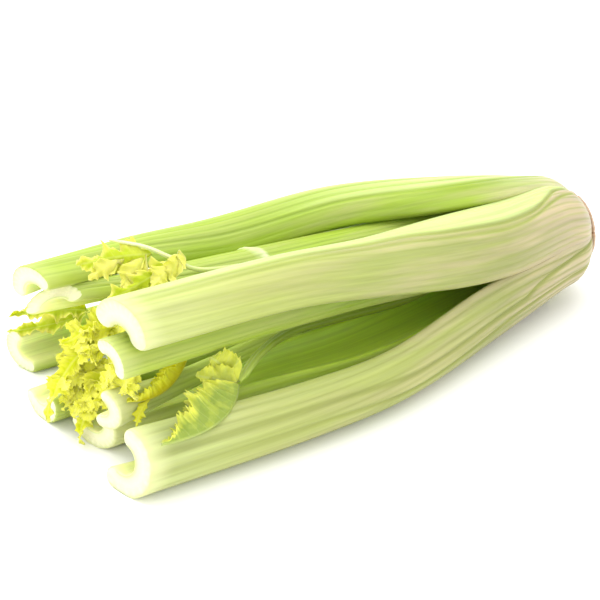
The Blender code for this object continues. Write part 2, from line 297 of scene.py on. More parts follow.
# A groove much deeper than the rest: how deep near the root and near the trimmed end, its width as
# a share of the outer side, and its course as x and place across.
DEEP_GROOVES = {
    "outer_stalk_1": (
        (1.7, 0.35, 0.07, ((157, -1.0), (138, -0.8), (118, -0.42), (103, -0.3), (44, -0.33), (13, -0.4),
                           (-80, -0.2), (-160, -0.08))),
        (0.9, 0.2, 0.05, ((157, -0.7), (132, -0.4), (101, -0.13), (42, -0.15), (9, -0.2), (-80, -0.02),
                          (-160, 0.1)))),
    "outer_stalk_3": (
        (1.2, 0.3, 0.045, ((157, 0.3), (125, 0.42), (80, 0.5), (10, 0.52), (-168, 0.5))),
        (1.1, 0.2, 0.04, ((157, 0.0), (125, 0.18), (80, 0.26), (10, 0.3), (-168, 0.3))),
        (1.0, 0.2, 0.04, ((157, -0.3), (125, -0.02), (80, 0.04), (10, 0.08), (-168, 0.1)))),
    "outer_stalk_4": (
        (1.6, 0.6, 0.06, ((157, -0.9), (128, -0.7), (101, -0.5), (89, -0.34), (11, -0.28), (-32, -0.45),
                          (-68, -0.52), (-160, -0.5))),
        (1.5, 0.4, 0.05, ((157, -0.2), (101, -0.1), (11, 0.08), (-60, -0.16), (-160, -0.2)))),
}
# On the two top stalks the skin above their deepest groove is paler, as far as this share of them: partly
# blanched, partly a painted highlight along the top edge where the light from above falls.
BLANCHED_AND_LIT_TOPS = {"outer_stalk_1": 2.0, "outer_stalk_3": 0.6}
# The joint where a leaf's stalk branched: its place, and how it slants.
JOINTS = {"inner_stalk_3": (-53.0, -0.25)}
JOINT_SWELL = 1.1
JOINT_WIDTH = 2.0


def turned(angle):
    """Unit vector across the head, at an angle in degrees from -Y upwards."""
    return np.array((0.0, -math.cos(math.radians(angle)), math.sin(math.radians(angle))))


def through(stations, x):
    """A smooth curve through stations of (x, value), read at x."""
    stations = sorted(stations)
    xs = [station[0] for station in stations]
    values = [station[1] for station in stations]
    i = max(k for k in range(len(xs) - 1) if xs[k] <= max(x, xs[0]))

    def slope(k):
        low, high = max(k - 1, 0), min(k + 1, len(xs) - 1)
        return (values[high] - values[low]) / (xs[high] - xs[low])

    width = xs[i + 1] - xs[i]
    t = (x - xs[i]) / width
    low_side = values[i] * (1 + 2 * t) + slope(i) * width * t
    high_side = values[i + 1] * (3 - 2 * t) - slope(i + 1) * width * (1 - t)
    return low_side * (1 - t) ** 2 + high_side * t ** 2


def root_sections(layer, angle):
    """A stalk's sections from its root to its shoulder, as its layer has them."""
    for ahead, radius in layer["radius"]:
        middle = AXIS + turned(angle) * radius
        low, high = layer["thickness"]
        thickness = low + (high - low) * min(1.0, ahead / THICKENING)
        x = BUTT_X - layer["root"] - ahead
        yield x, middle[1], middle[2], angle, radius, layer["half_angle"], thickness


def rib_edges(count, rng):
    """Where the grooves between ribs lie, from one edge of the outer side to the other, and depths."""
    uneven = np.array([rng.uniform(-0.25, 0.25) for _ in range(count + 1)])
    places = np.linspace(-RIB_SPREAD, RIB_SPREAD, count + 1) + uneven / count
    middle, edge = RIB_DEPTHS
    depths = (middle + (edge - middle) * places ** 2) * np.array([rng.uniform(0.6, 1.3) for _ in places])
    return places, depths


def rib_relief(side, places, depths):
    """How far the skin lies below a rib's crest, and how near a crest it is, across the outer side."""
    i = np.clip(np.searchsorted(places, side) - 1, 0, len(places) - 2)
    u = np.clip((side - places[i]) / (places[i + 1] - places[i]), 0, 1)
    crest = np.sin(np.pi * u) ** RIB_ROUNDNESS
    return (depths[i] * (1 - u) + depths[i + 1] * u) * (1 - crest), crest


def wall_section(radius, half_angle, thickness, edge, relief, inset):
    """A crescent's outline, each row as across, outwards, share through the wall and place across."""
    half_angle = math.radians(half_angle)
    side = np.linspace(-1, 1, OUTER_POINTS)
    half = thickness / 2 * (1 - (1 - edge) * side ** 2) - inset
    angle = side * half_angle
    outer_r, inner_r = radius + half - relief, radius - half
    outer = np.stack((outer_r * np.sin(angle), outer_r * np.cos(angle) - radius, 0 * side, side), 1)
    inner = np.stack((inner_r * np.sin(angle), inner_r * np.cos(angle) - radius, 0 * side + 1, side), 1)
    round_off = thickness * edge / 2 - inset
    swing = np.linspace(0, math.pi, CUT_CELLS + 1)[1:-1]
    reach, bulge = radius + round_off * np.cos(swing), round_off * np.sin(swing)
    u = reach * math.sin(half_angle) + bulge * math.cos(half_angle)
    v = reach * math.cos(half_angle) - bulge * math.sin(half_angle) - radius
    right, left = (np.stack((sign * u, v, swing / math.pi, np.full_like(u, sign)), 1) for sign in (1, -1))
    return np.concatenate((outer, right, inner[::-1], left[::-1]))


def cut_grid(ring, first, side, spots, half_width, thickness, number):
    """A stalk's cut end, as a grid of cells from its outer side to its inner side.

    ring is the stalk's last ring, whose points are numbered from first. spots are the places of the
    strings. Gives the faces, and the new points with the values that the flesh reads at each.
    """
    caps = CUT_CELLS - 1
    points, place, grain, strings, columns = [], [], [], [], []
    for j, across in enumerate(side):
        inner = 2 * OUTER_POINTS + caps - 1 - j
        column = [first + j]
        fade = min(1.0, 3 * (1 - abs(across)) + 0.3)
        in_line = max(groove(across - spot, STRING_WIDTH) for spot in spots)
        for i in range(1, CUT_CELLS):
            depth = i / CUT_CELLS
            point = ring[j] + (ring[inner] - ring[j]) * depth
            string = in_line * groove(depth - STRING_DEPTH, STRING_HEIGHT)
            rough = noise.noise((point[1] * ROUGH_SCALE, point[2] * ROUGH_SCALE, number * 3.7))
            point[0] += CUT_HOLLOW * fade * 4 * depth * (1 - depth) - STRING_BUMP * string + CUT_ROUGH * rough
            column.append(first + len(ring) + len(points))
            points.append(point)
            place.append((1.0, across, depth))
            grain.append((0.0, across * half_width, depth * thickness))
            strings.append(string)
        columns.append([*column, first + inner])
    faces = []
    for here, after in zip(columns, columns[1:]):
        faces += [(here[i], after[i], after[i + 1], here[i + 1]) for i in range(CUT_CELLS)]
    right = [first + OUTER_POINTS + i for i in range(caps)]
    left = [first + len(ring) - 1 - i for i in range(caps)]
    for column, cap, turn in ((columns[-1], right, 1), (columns[0], left, -1)):
        cap = [column[0], *cap, column[-1]]
        for i in range(CUT_CELLS):
            corners = dict.fromkeys((column[i], cap[i], cap[i + 1], column[i + 1]))
            faces.append(tuple(corners)[::turn])
    return faces, points, place, grain, strings


def stalk_stations(start, end):
    """Where a stalk's rings lie from its root to its cut, and how far each is inset to round the cut."""
    length = start - end
    before_cut = 1 - CUT_ROUNDING[0][0] / length
    shares = [(k / STALK_RINGS) ** RING_CROWDING * before_cut for k in range(STALK_RINGS + 1)]
    return [(start - length * share, 0.0) for share in shares] + [
        (end + behind, inset) for behind, inset in CUT_ROUNDING[1:]]


def build_stalk(name, layer, angle, lean, sections, number):
    """A stalk's ribbed skin and cut end, as rings from its root to its cut and a grid across it."""
    rng = random.Random(number)
    rib_count, root_ribs, tip_ribs = RIBS[name]
    places, depths = rib_edges(rib_count, rng)
    sway = [rng.uniform(0, 6.3) for _ in RIB_WAVES]
    rows = [*root_sections(layer, angle), *sections]
    columns = [[(row[0], value) for row, value in zip(rows, column)] for column in zip(*rows)][1:]
    start, end = rows[0][0], rows[-1][0]
    side = np.linspace(-1, 1, OUTER_POINTS)
    joint_x, joint_slant = JOINTS.get(name, (1e4, 0.0))
    points, grain, place, crests, joints, tints = [], [], [], [], [], []
    for x, inset in stalk_stations(start, end):
        share = (x - start) / (end - start)
        y, z, facing, radius, half_angle, thickness = (through(column, x) for column in columns)
        half_angle += SEAM_CLOSING * max(0.0, 1 - share / SEAM_LENGTH)
        wander = RIB_WANDER * sum(math.sin(x / wave + begin) for wave, begin in zip(RIB_WAVES, sway))
        relief, crest = rib_relief(side + wander, places, depths)
        strength = tip_ribs + (root_ribs - tip_ribs) * max(0.0, 1 - share / RIB_FADE) ** 1.5
        relief = relief * strength * min(1.0, 0.35 + share * 6)
        # Each deep groove's line is kept, for the painted shade that darkens it in the skin.
        deep_groove_shade = np.zeros(OUTER_POINTS)
        for deep, shallow, width, course in DEEP_GROOVES.get(name, ()):
            line = groove(side - through(course, x), width)
            relief = relief * (1 - line) + (deep + (shallow - deep) * share) * line
            crest = crest * (1 - line)
            deep_groove_shade = np.maximum(deep_groove_shade, line)
        joint = groove(x + joint_slant * side * radius - joint_x, JOINT_WIDTH)
        relief = relief - JOINT_SWELL * joint
        edge = EDGE_SHARE[0] + (EDGE_SHARE[1] - EDGE_SHARE[0]) * share
        outline = wall_section(radius, half_angle, thickness, edge, relief, inset)
        ring = np.array((x, y, z)) + outline[:, :1] * turned(facing - 90) + outline[:, 1:2] * turned(facing)
        ring[:, 0] -= ((ring[:, 1] - y) * lean[0] + (ring[:, 2] - z) * lean[1]) * share ** 3
        ring[:, 2] = np.maximum(ring[:, 2], 0.0)
        points.append(ring)
        half_width = math.radians(half_angle) * radius
        wall, across = outline[:, 2], outline[:, 3]
        rest = len(outline) - OUTER_POINTS
        grain.append(np.stack((np.full_like(wall, x), across * half_width, wall * thickness), 1))
        place.append(np.stack((np.full_like(wall, share), across, wall), 1))
        crests.append(np.append(crest, np.ones(rest)))
        joints.append(np.append(joint, np.zeros(rest)))
        pale = np.zeros_like(wall)
        if name in BLANCHED_AND_LIT_TOPS:
            above = through(DEEP_GROOVES[name][0][3], x) - across
            pale = np.clip(above / 0.1, 0, 1) * np.clip((BLANCHED_AND_LIT_TOPS[name] - share) / 0.3, 0, 1)
        deep_groove_shade = np.append(deep_groove_shade * (1 - 0.7 * share), np.zeros(rest))
        tints.append(np.stack((pale, deep_groove_shade, np.full_like(wall, strength / 2)), 1))
    count, rings = len(points[0]), len(points)
    faces = tube_faces(rings, count) + ring_ends(rings, count)[:1]
    spots = (places[1:] + places[:-1]) / 2
    cut_faces, cut_points, cut_place, cut_grain, cut_strings = cut_grid(
        points[-1], (rings - 1) * count, side, spots, half_width, thickness, number)
    marks = {
        "grain": np.concatenate((*grain, cut_grain)),
        "place": np.concatenate((*place, cut_place)),
        "crest": np.concatenate((*crests, np.ones(len(cut_points)))),
        "joint": np.concatenate((*joints, np.zeros(len(cut_points)))),
        "tint": np.concatenate((*tints, np.zeros((len(cut_points), 3)))),
        "string": np.append(np.zeros(rings * count), cut_strings),
    }
    add_piece(name + "_skin", np.concatenate((*points, cut_points)), faces + cut_faces,
              [SKINS.get(name, green_skin), cut_flesh], marks, name,
              [0] * len(faces) + [1] * len(cut_faces))


SKIN_GLOW = (2.4, 2.2, 0.8)  # how far red, green and blue light spread in the flesh
CHANNEL_GLOW = (8.0, 10.0, 2.5)


def make_stalk_skin(name, outer_tones, groove_hue_and_shade, between_most, blush_most, end_most):
    """Raw celery skin, grown and washed: a thin wax over watery flesh, so a soft wide shine."""
    material, tree, shader = new_material(name, roughness=0.4, ior=1.4)
    grain, place, tint = (add_node(tree, "Attribute", attribute_name=mark).outputs["Vector"]
                          for mark in ("grain", "place", "tint"))
    crest, joint = (add_node(tree, "Attribute", attribute_name=mark).outputs["Fac"]
                    for mark in ("crest", "joint"))
    axes, tints = (add_node(tree, "SeparateXYZ", {"Vector": mark}).outputs for mark in (place, tint))
    outside = add_node(tree, "ValToRGB", {"Fac": axes["X"]}, stops=outer_tones).outputs["Color"]
    inside = add_node(tree, "ValToRGB", {"Fac": axes["X"]}, stops=(
        (0.0, "#c3c79a"), (0.12, "#b6c75a"), (0.35, "#b8d248"), (0.7, "#bcd452"),
        (0.88, "#c6d466"), (1.0, "#e0e2a4"))).outputs["Color"]
    depth = add_node(tree, "MapRange", {"Value": axes["Z"], "From Min": 0.3, "From Max": 0.8},
                     interpolation_type="SMOOTHSTEP").outputs["Result"]
    # Clouds of pinkish beige 80 mm long and 10 mm wide where it is blanched, most near the root.
    wide = add_node(tree, "Mapping", {"Vector": grain, "Scale": (0.012, 0.11, 0.09)}).outputs["Vector"]
    cloud = add_node(tree, "TexNoise", {"Vector": wide, "Scale": 1.0, "Detail": 3.0}).outputs["Fac"]
    near = add_node(tree, "MapRange", {"Value": axes["X"], "From Min": 0.8, "From Max": 0.1, "To Min": 0.15,
                                       "To Max": blush_most}).outputs["Result"]
    patch = add_node(tree, "MapRange", {"Value": cloud, "From Min": 0.42, "From Max": 0.6}).outputs["Result"]
    blush = add_node(tree, "Math", {0: near, 1: patch}, operation="MULTIPLY").outputs["Value"]
    blanched = add_node(tree, "Mix", {0: blush, 6: outside, 7: linear("#bbab88")},
                        data_type="RGBA").outputs[2]
    # Between the ribs the skin is greener and darker, and more so where they stand high: partly its own
    # colour, partly painted shade in the grooves.
    low = add_node(tree, "MapRange", {"Value": crest, "From Min": 0.95, "From Max": 0.3}).outputs["Result"]
    high = add_node(tree, "MapRange", {"Value": tints["Z"], "From Min": 0.1, "From Max": 0.7, "To Min": 0.4,
                                       "To Max": 1.0}).outputs["Result"]
    low = add_node(tree, "Math", {0: low, 1: high}, operation="MULTIPLY").outputs["Value"]
    low = add_node(tree, "Math", {0: low, 1: between_most}, operation="MULTIPLY").outputs["Value"]
    ribbed = add_node(tree, "Mix", {0: low, 6: blanched, 7: linear(groove_hue_and_shade)},
                      data_type="RGBA").outputs[2]
    # Above its deepest groove a top stalk is paler, partly blanched and partly a painted highlight on its top
    # edge, and the groove itself is dark, which is painted shade in the crease.
    lit_and_blanched = add_node(tree, "Mix", {0: tints["X"], 6: ribbed, 7: linear("#bfce82")},
                     data_type="RGBA").outputs[2]
    deep = add_node(tree, "Math", {0: tints["Y"], 1: 0.8}, operation="MULTIPLY").outputs["Value"]
    grooved = add_node(tree, "Mix", {0: deep, 6: lit_and_blanched, 7: linear(groove_hue_and_shade)},
                       data_type="RGBA").outputs[2]
    sides = add_node(tree, "Mix", {0: depth, 6: grooved, 7: inside}, data_type="RGBA").outputs[2]
    # Fibre streaks, some 1 mm apart and 40 mm long over others 4 mm apart.
    stretched = add_node(tree, "Mapping", {"Vector": grain, "Scale": (0.022, 0.9, 0.9)}).outputs["Vector"]
    fibres = add_node(tree, "TexNoise", {"Vector": stretched, "Scale": 1.0, "Detail": 3.0,
                                         "Roughness": 0.6}).outputs["Fac"]
    banded = add_node(tree, "Mapping", {"Vector": grain, "Scale": (0.008, 0.25, 0.25)}).outputs["Vector"]
    bands = add_node(tree, "TexNoise", {"Vector": banded, "Scale": 1.0, "Detail": 1.0}).outputs["Fac"]
    streak = add_node(tree, "Math", {0: fibres, 1: bands}, operation="ADD").outputs["Value"]
    streak = add_node(tree, "MapRange", {"Value": streak, "From Min": 0.75, "From Max": 1.25, "To Min": 0.89,
                                         "To Max": 1.1}).outputs["Result"]
    streaked = add_node(tree, "Mix", {0: 1.0, 6: sides, 7: streak}, data_type="RGBA",
                        blend_type="MULTIPLY").outputs[2]
    # The last centimetre pales towards the cut.
    end = add_node(tree, "MapRange", {"Value": axes["X"], "From Min": 0.955, "From Max": 1.0,
                                      "To Max": end_most},
                   interpolation_type="SMOOTHSTEP").outputs["Result"]
    ended = add_node(tree, "Mix", {0: end, 6: streaked, 7: linear("#d8dba0")}, data_type="RGBA").outputs[2]
    jointed = add_node(tree, "Mix", {0: joint, 6: ended, 7: linear("#dbe2b4")}, data_type="RGBA").outputs[2]
    fine = add_node(tree, "Bump", {"Height": fibres, "Strength": 0.3, "Distance": 0.3 * MM})
    # The skin of the channel is thinner and clearer, so light from behind glows through the wall.
    skin_glow, channel_glow = ([r * MM for r in glow] for glow in (SKIN_GLOW, CHANNEL_GLOW))
    glow = add_node(tree, "Mix", {0: depth, 4: skin_glow, 5: channel_glow}, data_type="VECTOR").outputs[1]
    tree.links.new(glow, shader.inputs["Subsurface Radius"])
    weight = add_node(tree, "MapRange", {"Value": depth, "To Min": 0.3, "To Max": 0.85}).outputs["Result"]
    tree.links.new(weight, shader.inputs["Subsurface Weight"])
    tree.links.new(jointed, shader.inputs["Base Color"])
    tree.links.new(fine.outputs["Normal"], shader.inputs["Normal"])
    return material


def make_cut_flesh():
    """Celery flesh under a fresh knife cut: wet white cells, with a paler spot at each string."""
    material, tree, shader = new_material("celery_cut_flesh", roughness=0.3, ior=1.38, subsurface=0.6,
                                          radius=(4.0, 3.6, 2.0))
    place, grain = (add_node(tree, "Attribute", attribute_name=mark).outputs["Vector"]
                    for mark in ("place", "grain"))
    string = add_node(tree, "Attribute", attribute_name="string").outputs["Fac"]
    axes = add_node(tree, "SeparateXYZ", {"Vector": place}).outputs
    across_wall = add_node(tree, "ValToRGB", {"Fac": axes["Z"]}, stops=(
        (0.0, "#d2d89c"), (0.18, "#e0e0b6"), (0.55, "#e8e5c6"), (0.85, "#e0e0ba"),
        (1.0, "#c8d488"))).outputs["Color"]
    # The flesh's cells are drawn 0.7 mm wide, coarser than they are, so that they show.
    cells = add_node(tree, "TexVoronoi", {"Vector": grain, "Scale": 1.4}).outputs["Distance"]
    mottle = add_node(tree, "MapRange", {"Value": cells, "From Max": 0.7, "To Min": 0.93, "To Max": 1.03})
    flesh = add_node(tree, "Mix", {0: 1.0, 6: across_wall, 7: mottle.outputs["Result"]}, data_type="RGBA",
                     blend_type="MULTIPLY").outputs[2]
    spotted = add_node(tree, "Mix", {0: string, 6: flesh, 7: linear("#ecebc6")}, data_type="RGBA").outputs[2]
    rough = add_node(tree, "Bump", {"Height": cells, "Strength": 0.25, "Distance": 0.3 * MM})
    tree.links.new(spotted, shader.inputs["Base Color"])
    tree.links.new(rough.outputs["Normal"], shader.inputs["Normal"])
    return material


# The top front stalk grew in the dark longest, so its skin is palest.
pale_skin = make_stalk_skin("pale_celery_skin", (
    (0.0, "#b4a68e"), (0.08, "#aca080"), (0.25, "#96995c"), (0.5, "#9ba45a"), (0.8, "#acb562"),
    (1.0, "#bbc57a")), "#909d42", 0.5, 0.75, 0.5)
# The low front stalk is duller, towards olive, and darker at its root and between its ribs than the top front
# stalk: painted shade under the stalks above it.
olive_skin = make_stalk_skin("olive_celery_skin", (
    (0.0, "#b6a98c"), (0.08, "#a8a07c"), (0.25, "#92955a"), (0.5, "#a0a85c"), (0.8, "#aeb76a"),
    (1.0, "#bac482")), "#868e3e", 0.65, 0.65, 0.7)
# Most of them are fresh green, and cream only at the root.
green_skin = make_stalk_skin("green_celery_skin", (
    (0.0, "#c6c0a4"), (0.08, "#aeb674"), (0.25, "#8fa630"), (0.5, "#99b138"), (0.8, "#a1b842"),
    (1.0, "#a7bc40")), "#8aa42e", 0.6, 0.45, 0.15)
# The one nested under the top front stalk is a darker copy of the green skin: painted shade, for the shadow
# that the top front stalk casts on it.
shaded_green_skin = make_stalk_skin("shaded_green_celery_skin", (
    (0.0, "#c0bb96"), (0.08, "#a8b068"), (0.25, "#7f952a"), (0.5, "#82982a"), (0.8, "#93a930"),
    (1.0, "#a6b944")), "#7c9628", 0.6, 0.45, 0.3)
# The youngest are green along their middle and pale at both ends.
heart_skin = make_stalk_skin("heart_celery_skin", (
    (0.0, "#c6c0a4"), (0.08, "#aeb674"), (0.25, "#94aa36"), (0.6, "#a8be42"), (0.86, "#b8c95c"),
    (1.0, "#dade9e")), "#8aa42e", 0.6, 0.45, 0.8)
SKINS = {"outer_stalk_1": pale_skin, "outer_stalk_4": olive_skin, "inner_stalk_1": shaded_green_skin,
         "inner_stalk_2": heart_skin, "heart_stalk_1": heart_skin}
cut_flesh = make_cut_flesh()
for number, (name, facts) in enumerate(STALKS.items()):
    build_stalk(name, *facts, number)

# ---------------------------------------------------------------- the leaf stems
# Thin leaf stalks that were not trimmed: pale, juicy and finely ribbed, with a groove along the
# upper side, growing up from the heart between the thick stalks and ending where a leaf spreads.
# name: radius at the butt's end and at the leaf's end, then the points that it passes through.
STEMS = {
    "top_leaf_stem": (1.9, 0.8, (
        (106, -5, 50), (60, -10, 53), (0, -18, 64), (-60, -23, 79), (-96, -25, 86), (-110, -19, 94),
        (-120, -10, 98.5), (-133, 4, 99))),
    "side_leaf_stem": (3.0, 2.3, (
        (112, -8, 43), (70, -18, 42), (28, -27, 36.5), (-26, -32, 40), (-53, -38, 44), (-77, -50, 44.5),
        (-94, -60, 39))),
    "heart_leaf_stem": (3.4, 1.8, ((112, 2, 35), (60, 1, 37), (0, 0, 40), (-70, 2, 41), (-104, 3, 41))),
    "back_leaf_stem": (2.8, 1.2, (
        (112, 10, 43), (60, 18, 33), (0, 32, 26), (-60, 46, 26), (-125, 54, 29.5))),
}
STEM_RINGS = 140
STEM_POINTS = 28
STEM_RIBS = 7
STEM_RIB_DEPTH = 0.06  # of its radius
STEM_CHANNEL = 0.3  # of its radius, along its upper side
CHANNEL_WIDTH = 0.5  # radians


def stem_path(points, count):
    """Even steps along a smooth line through the points, with the direction at each."""
    points = [np.array(p, float) for p in points]
    padded = [2 * points[0] - points[1], *points, 2 * points[-1] - points[-2]]
    path = []
    for k in range(count):
        t = k / (count - 1) * (len(points) - 1)
        i = min(int(t), len(points) - 2)
        t -= i
        a, b, c, d = padded[i:i + 4]
        path.append(0.5 * (2 * b + (c - a) * t + (2 * a - 5 * b + 4 * c - d) * t ** 2
                           + (3 * b - a - 3 * c + d) * t ** 3))
    path = np.array(path)
    along = np.gradient(path, axis=0)
    return path, along / np.linalg.norm(along, axis=1)[:, None]


def build_stem(name, base_radius, leaf_radius, points, skin):
    """A leaf stem, whose two ends are rounded off over their last few millimetres."""
    path, along = stem_path(points, STEM_RINGS)
    turn = np.linspace(0, 2 * math.pi, STEM_POINTS, endpoint=False)
    rings, grain = [], []
    for k, (centre, way) in enumerate(zip(path, along)):
        t = k / (STEM_RINGS - 1)
        across = np.cross(way, (0, 0, 1.0))
        across /= np.linalg.norm(across)
        up = np.cross(across, way)
        radius = base_radius + (leaf_radius - base_radius) * t
        end = min(1.0, 12 * t + 0.5, 12 * (1 - t) + 0.4)
        shape = 1 - STEM_RIB_DEPTH * (1 - np.abs(np.cos(STEM_RIBS * turn / 2)) ** 0.6)
        shape -= STEM_CHANNEL * groove((turn + math.pi / 2) % (2 * math.pi) - math.pi, CHANNEL_WIDTH)
        r = radius * shape * end
        rings.append(centre + np.outer(r * np.cos(turn), across) + np.outer(r * np.sin(turn), up))
        grain.append(np.stack((np.full_like(turn, t), turn, shape), 1))
    faces = tube_faces(STEM_RINGS, STEM_POINTS) + ring_ends(STEM_RINGS, STEM_POINTS)
    add_piece(name + "_skin", np.concatenate(rings), [face[::-1] for face in faces], [skin],
              {"grain": np.concatenate(grain)}, name)


def make_stem_skin(name, tones):
    """A celery leaf's stalk, young and juicy, so it glows and shines softly."""
    material, tree, shader = new_material(name, roughness=0.35, subsurface=0.5, radius=(2.5, 2.2, 0.9))
    grain = add_node(tree, "Attribute", attribute_name="grain").outputs["Vector"]
    axes = add_node(tree, "SeparateXYZ", {"Vector": grain}).outputs
    along = add_node(tree, "ValToRGB", {"Fac": axes["X"]}, stops=tones).outputs["Color"]
    # Streaks are a seventh of the stem long and a third of a radian wide.
    stretched = add_node(tree, "Mapping", {"Vector": grain, "Scale": (7.0, 3.0, 1.0)}).outputs["Vector"]
    fibres = add_node(tree, "TexNoise", {"Vector": stretched, "Scale": 1.0, "Detail": 2.0}).outputs["Fac"]
    streak = add_node(tree, "MapRange", {"Value": fibres, "From Min": 0.3, "From Max": 0.7, "To Min": 0.85,
                                         "To Max": 1.08}).outputs["Result"]
    colour = add_node(tree, "Mix", {0: 1.0, 6: along, 7: streak}, data_type="RGBA",
                      blend_type="MULTIPLY").outputs[2]
    tree.links.new(colour, shader.inputs["Base Color"])
    return material


pale_stem = make_stem_skin("pale_celery_stem", (
    (0.0, "#b9bd80"), (0.4, "#b2be68"), (0.65, "#c4ce8c"), (0.9, "#d6dcae"), (1.0, "#d9dfa0")))
# The side stem is darkest along its middle, where it runs under the top stalks: partly its own green, partly
# painted shade.
green_stem = make_stem_skin("green_celery_stem", (
    (0.0, "#a0a858"), (0.4, "#6c7f1c"), (0.75, "#6e811e"), (0.9, "#93a63c"), (1.0, "#acbe54")))
for name, facts in STEMS.items():
    build_stem(name, *facts, green_stem if name.startswith("side") else pale_stem)

# ---------------------------------------------------------------- the leaves
# The small leaves left at the trimmed end. Each is a thin soft blade of one to five leaflets, cut
# into pointed lobes with a saw edge, puckered between its veins and curled. The heart's grew in the
# dark and are yellow, with more small leaflets in pairs along each midrib.
# name: its leaflets, each as base, middle and tip of the midrib, the way that its face points, half
# width, how far each half is folded up along the midrib in degrees, its ruffle in millimetres, and
# how far the blade reaches between its lobes.
LEAVES = {
    "heart_leaf_1": (
        ((-106, 7, 43), (-148, 3.5, 41.5), (-177.9, -9, 14), (-0.6, -0.5, 0.6), 10, 25, 3.2, 0.6),
        ((-132, 6, 40), (-150, 5, 38), (-163, 14, 24), (-0.6, -0.5, 0.6), 8, 20, 2.6, 0.6),
        ((-132, 10, 42), (-148, 8, 43), (-158, 15, 33), (-0.2, -0.6, 0.8), 7, 20, 2.4, 0.5),
        ((-140, 0, 34), (-154, 0, 28), (-165, 4, 20), (-0.7, -0.5, 0.5), 8, 25, 2.6, 0.6),
        ((-142, 4, 30), (-156, -3, 22), (-168, -5, 14), (-0.7, -0.3, 0.7), 6, 20, 2.2, 0.5)),
    "heart_leaf_2": (
        ((-107, -5, 36.5), (-145, -11.5, 29), (-166, -21.5, 2.5), (-0.7, -0.5, 0.4), 10.5, 25, 3.0, 0.7),
        ((-138, -4, 32), (-152, -12, 26), (-166, -22, 20), (-0.5, -0.7, 0.5), 7, 25, 2.4, 0.5),
        ((-136, -8, 32), (-148, -20, 30), (-159, -31, 25), (-0.6, -0.6, 0.6), 7, 20, 2.4, 0.5),
        ((-128, -26, 46), (-146, -42, 47), (-151, -60, 48), (-0.5, -0.6, 0.6), 6, 15, 2.4, 0.6)),
    "heart_leaf_3": (
        ((-106, 4, 48), (-136, 2, 52), (-163, 4, 46), (-0.3, -0.7, 0.7), 10, 20, 3.0, 0.7),
        ((-134, 0, 50), (-147, -7, 56), (-156, -10, 59), (-0.6, -0.7, 0.3), 6, 20, 2.0, 0.6),
        ((-138, -6, 46), (-151, -15, 49), (-161, -20, 54), (-0.5, -0.8, 0.3), 7, 20, 2.6, 0.5),
        ((-140, -10, 42), (-150, -32, 48), (-157, -43, 47), (-0.7, -0.3, 0.6), 7, 25, 2.6, 0.5)),
    "curled_leaf": (
        ((-106, -30, 47), (-127, -47, 38), (-151, -52, 41), (-0.3, 0.55, 0.78), 12, 66, 1.2, 0.9),
        ((-128, -44, 41), (-142, -42, 37), (-156, -40, 41), (-0.6, -0.4, 0.7), 6, 20, 2.2, 0.6),
        ((-138, -50, 38), (-144, -52, 33), (-148, -54, 26), (-0.6, -0.6, 0.5), 4, 20, 1.0, 0.5)),
    "top_leaf_1": (
        ((-117, -13, 94.5), (-133, -7, 94.5), (-151, 3, 89.5), (-0.3, -0.6, 0.75), 9, -35, 3.0, 0.95),
        ((-121, -13, 93), (-130, -17, 90), (-136, -19, 84), (-0.4, -0.8, 0.45), 6.5, -30, 2.4, 0.95),
        ((-130, -9, 93.5), (-140, -8, 91), (-148, -6, 85.5), (-0.4, -0.7, 0.6), 6, -40, 2.2, 0.9)),
    "top_leaf_2": (
        ((-110, -21, 92), (-126, -25, 88.5), (-151, -24, 80), (-0.3, -0.75, 0.55), 7.5, -50, 2.6, 0.9),
        ((-108, -21, 93), (-117, -27, 91), (-126, -31, 86.5), (-0.3, -0.8, 0.5), 7.5, -35, 2.8, 0.95),
        ((-106, -19, 94), (-110, -25, 92.5), (-116, -29, 87.5), (0.1, -0.8, 0.5), 5.5, -30, 2.4, 0.9)),
    "side_leaf": (
        ((-95, -61, 38.5), (-115, -79.5, 33.5), (-149, -87, 36), (-0.1, 0.87, 0.5), 21.5, 70, 1.8, 1.0),
        ((-95, -61, 40), (-103, -60, 51), (-109, -58, 57), (-0.5, -0.7, 0.5), 9.5, 10, 2.0, 1.0),
        ((-96, -62, 40), (-107, -63, 46), (-118, -60, 50), (-0.5, -0.7, 0.5), 8, 10, 2.2, 1.0)),
    "back_leaf_1": (((-127, 54, 31), (-146, 53, 37), (-173, 48, 44), (-0.2, -0.5, 0.8), 7, 20, 1.8, 0.7),),
    "back_leaf_2": (((-127, 56, 28), (-146, 58, 26), (-170, 65, 24), (-0.2, -0.6, 0.7), 6, 20, 1.8, 0.7),),
}
RINGS_PER_MM = 1.8
LEAST_RINGS = 24
BLADE_CELLS = 8  # on each side of the midrib
BLADE_THICKNESS = 0.5
MIDRIB_HEIGHT = 0.5
FOLD_ROUNDING = 2.5  # the blade bends to its fold within about this of the midrib
LOBES = ((0.26, 0.75, 0.14), (0.5, 1.0, 0.15), (0.76, 0.6, 0.12))  # place, reach and half width
TOOTH_SPACING = 2.5
TOOTH = 0.17  # of the half width
WAVE_LENGTHS = (7.0, 2.7)  # of the margin's ruffle, half of each
VEIN_SWEEP = 0.6  # how far a side vein runs forward, for each millimetre outwards
PUCKER = 0.45
CRUMPLE = 0.75  # how far a margin strays, for each millimetre of its ruffle, in clouds of this size
CRUMPLE_SIZE = 7.0
CRUMPLE_SEED = 1
SPRIG_PLACES = (0.4, 0.75)  # along the midrib
SPRIG_LENGTH, SPRIG_WIDTH = 1.15, 0.5  # of the leaflet's half width
SPRIG_RUFFLE = 0.45  # of the leaflet's
YOUTH = 0.82  # how far a leaf's smaller leaflets have the margin's colour all over


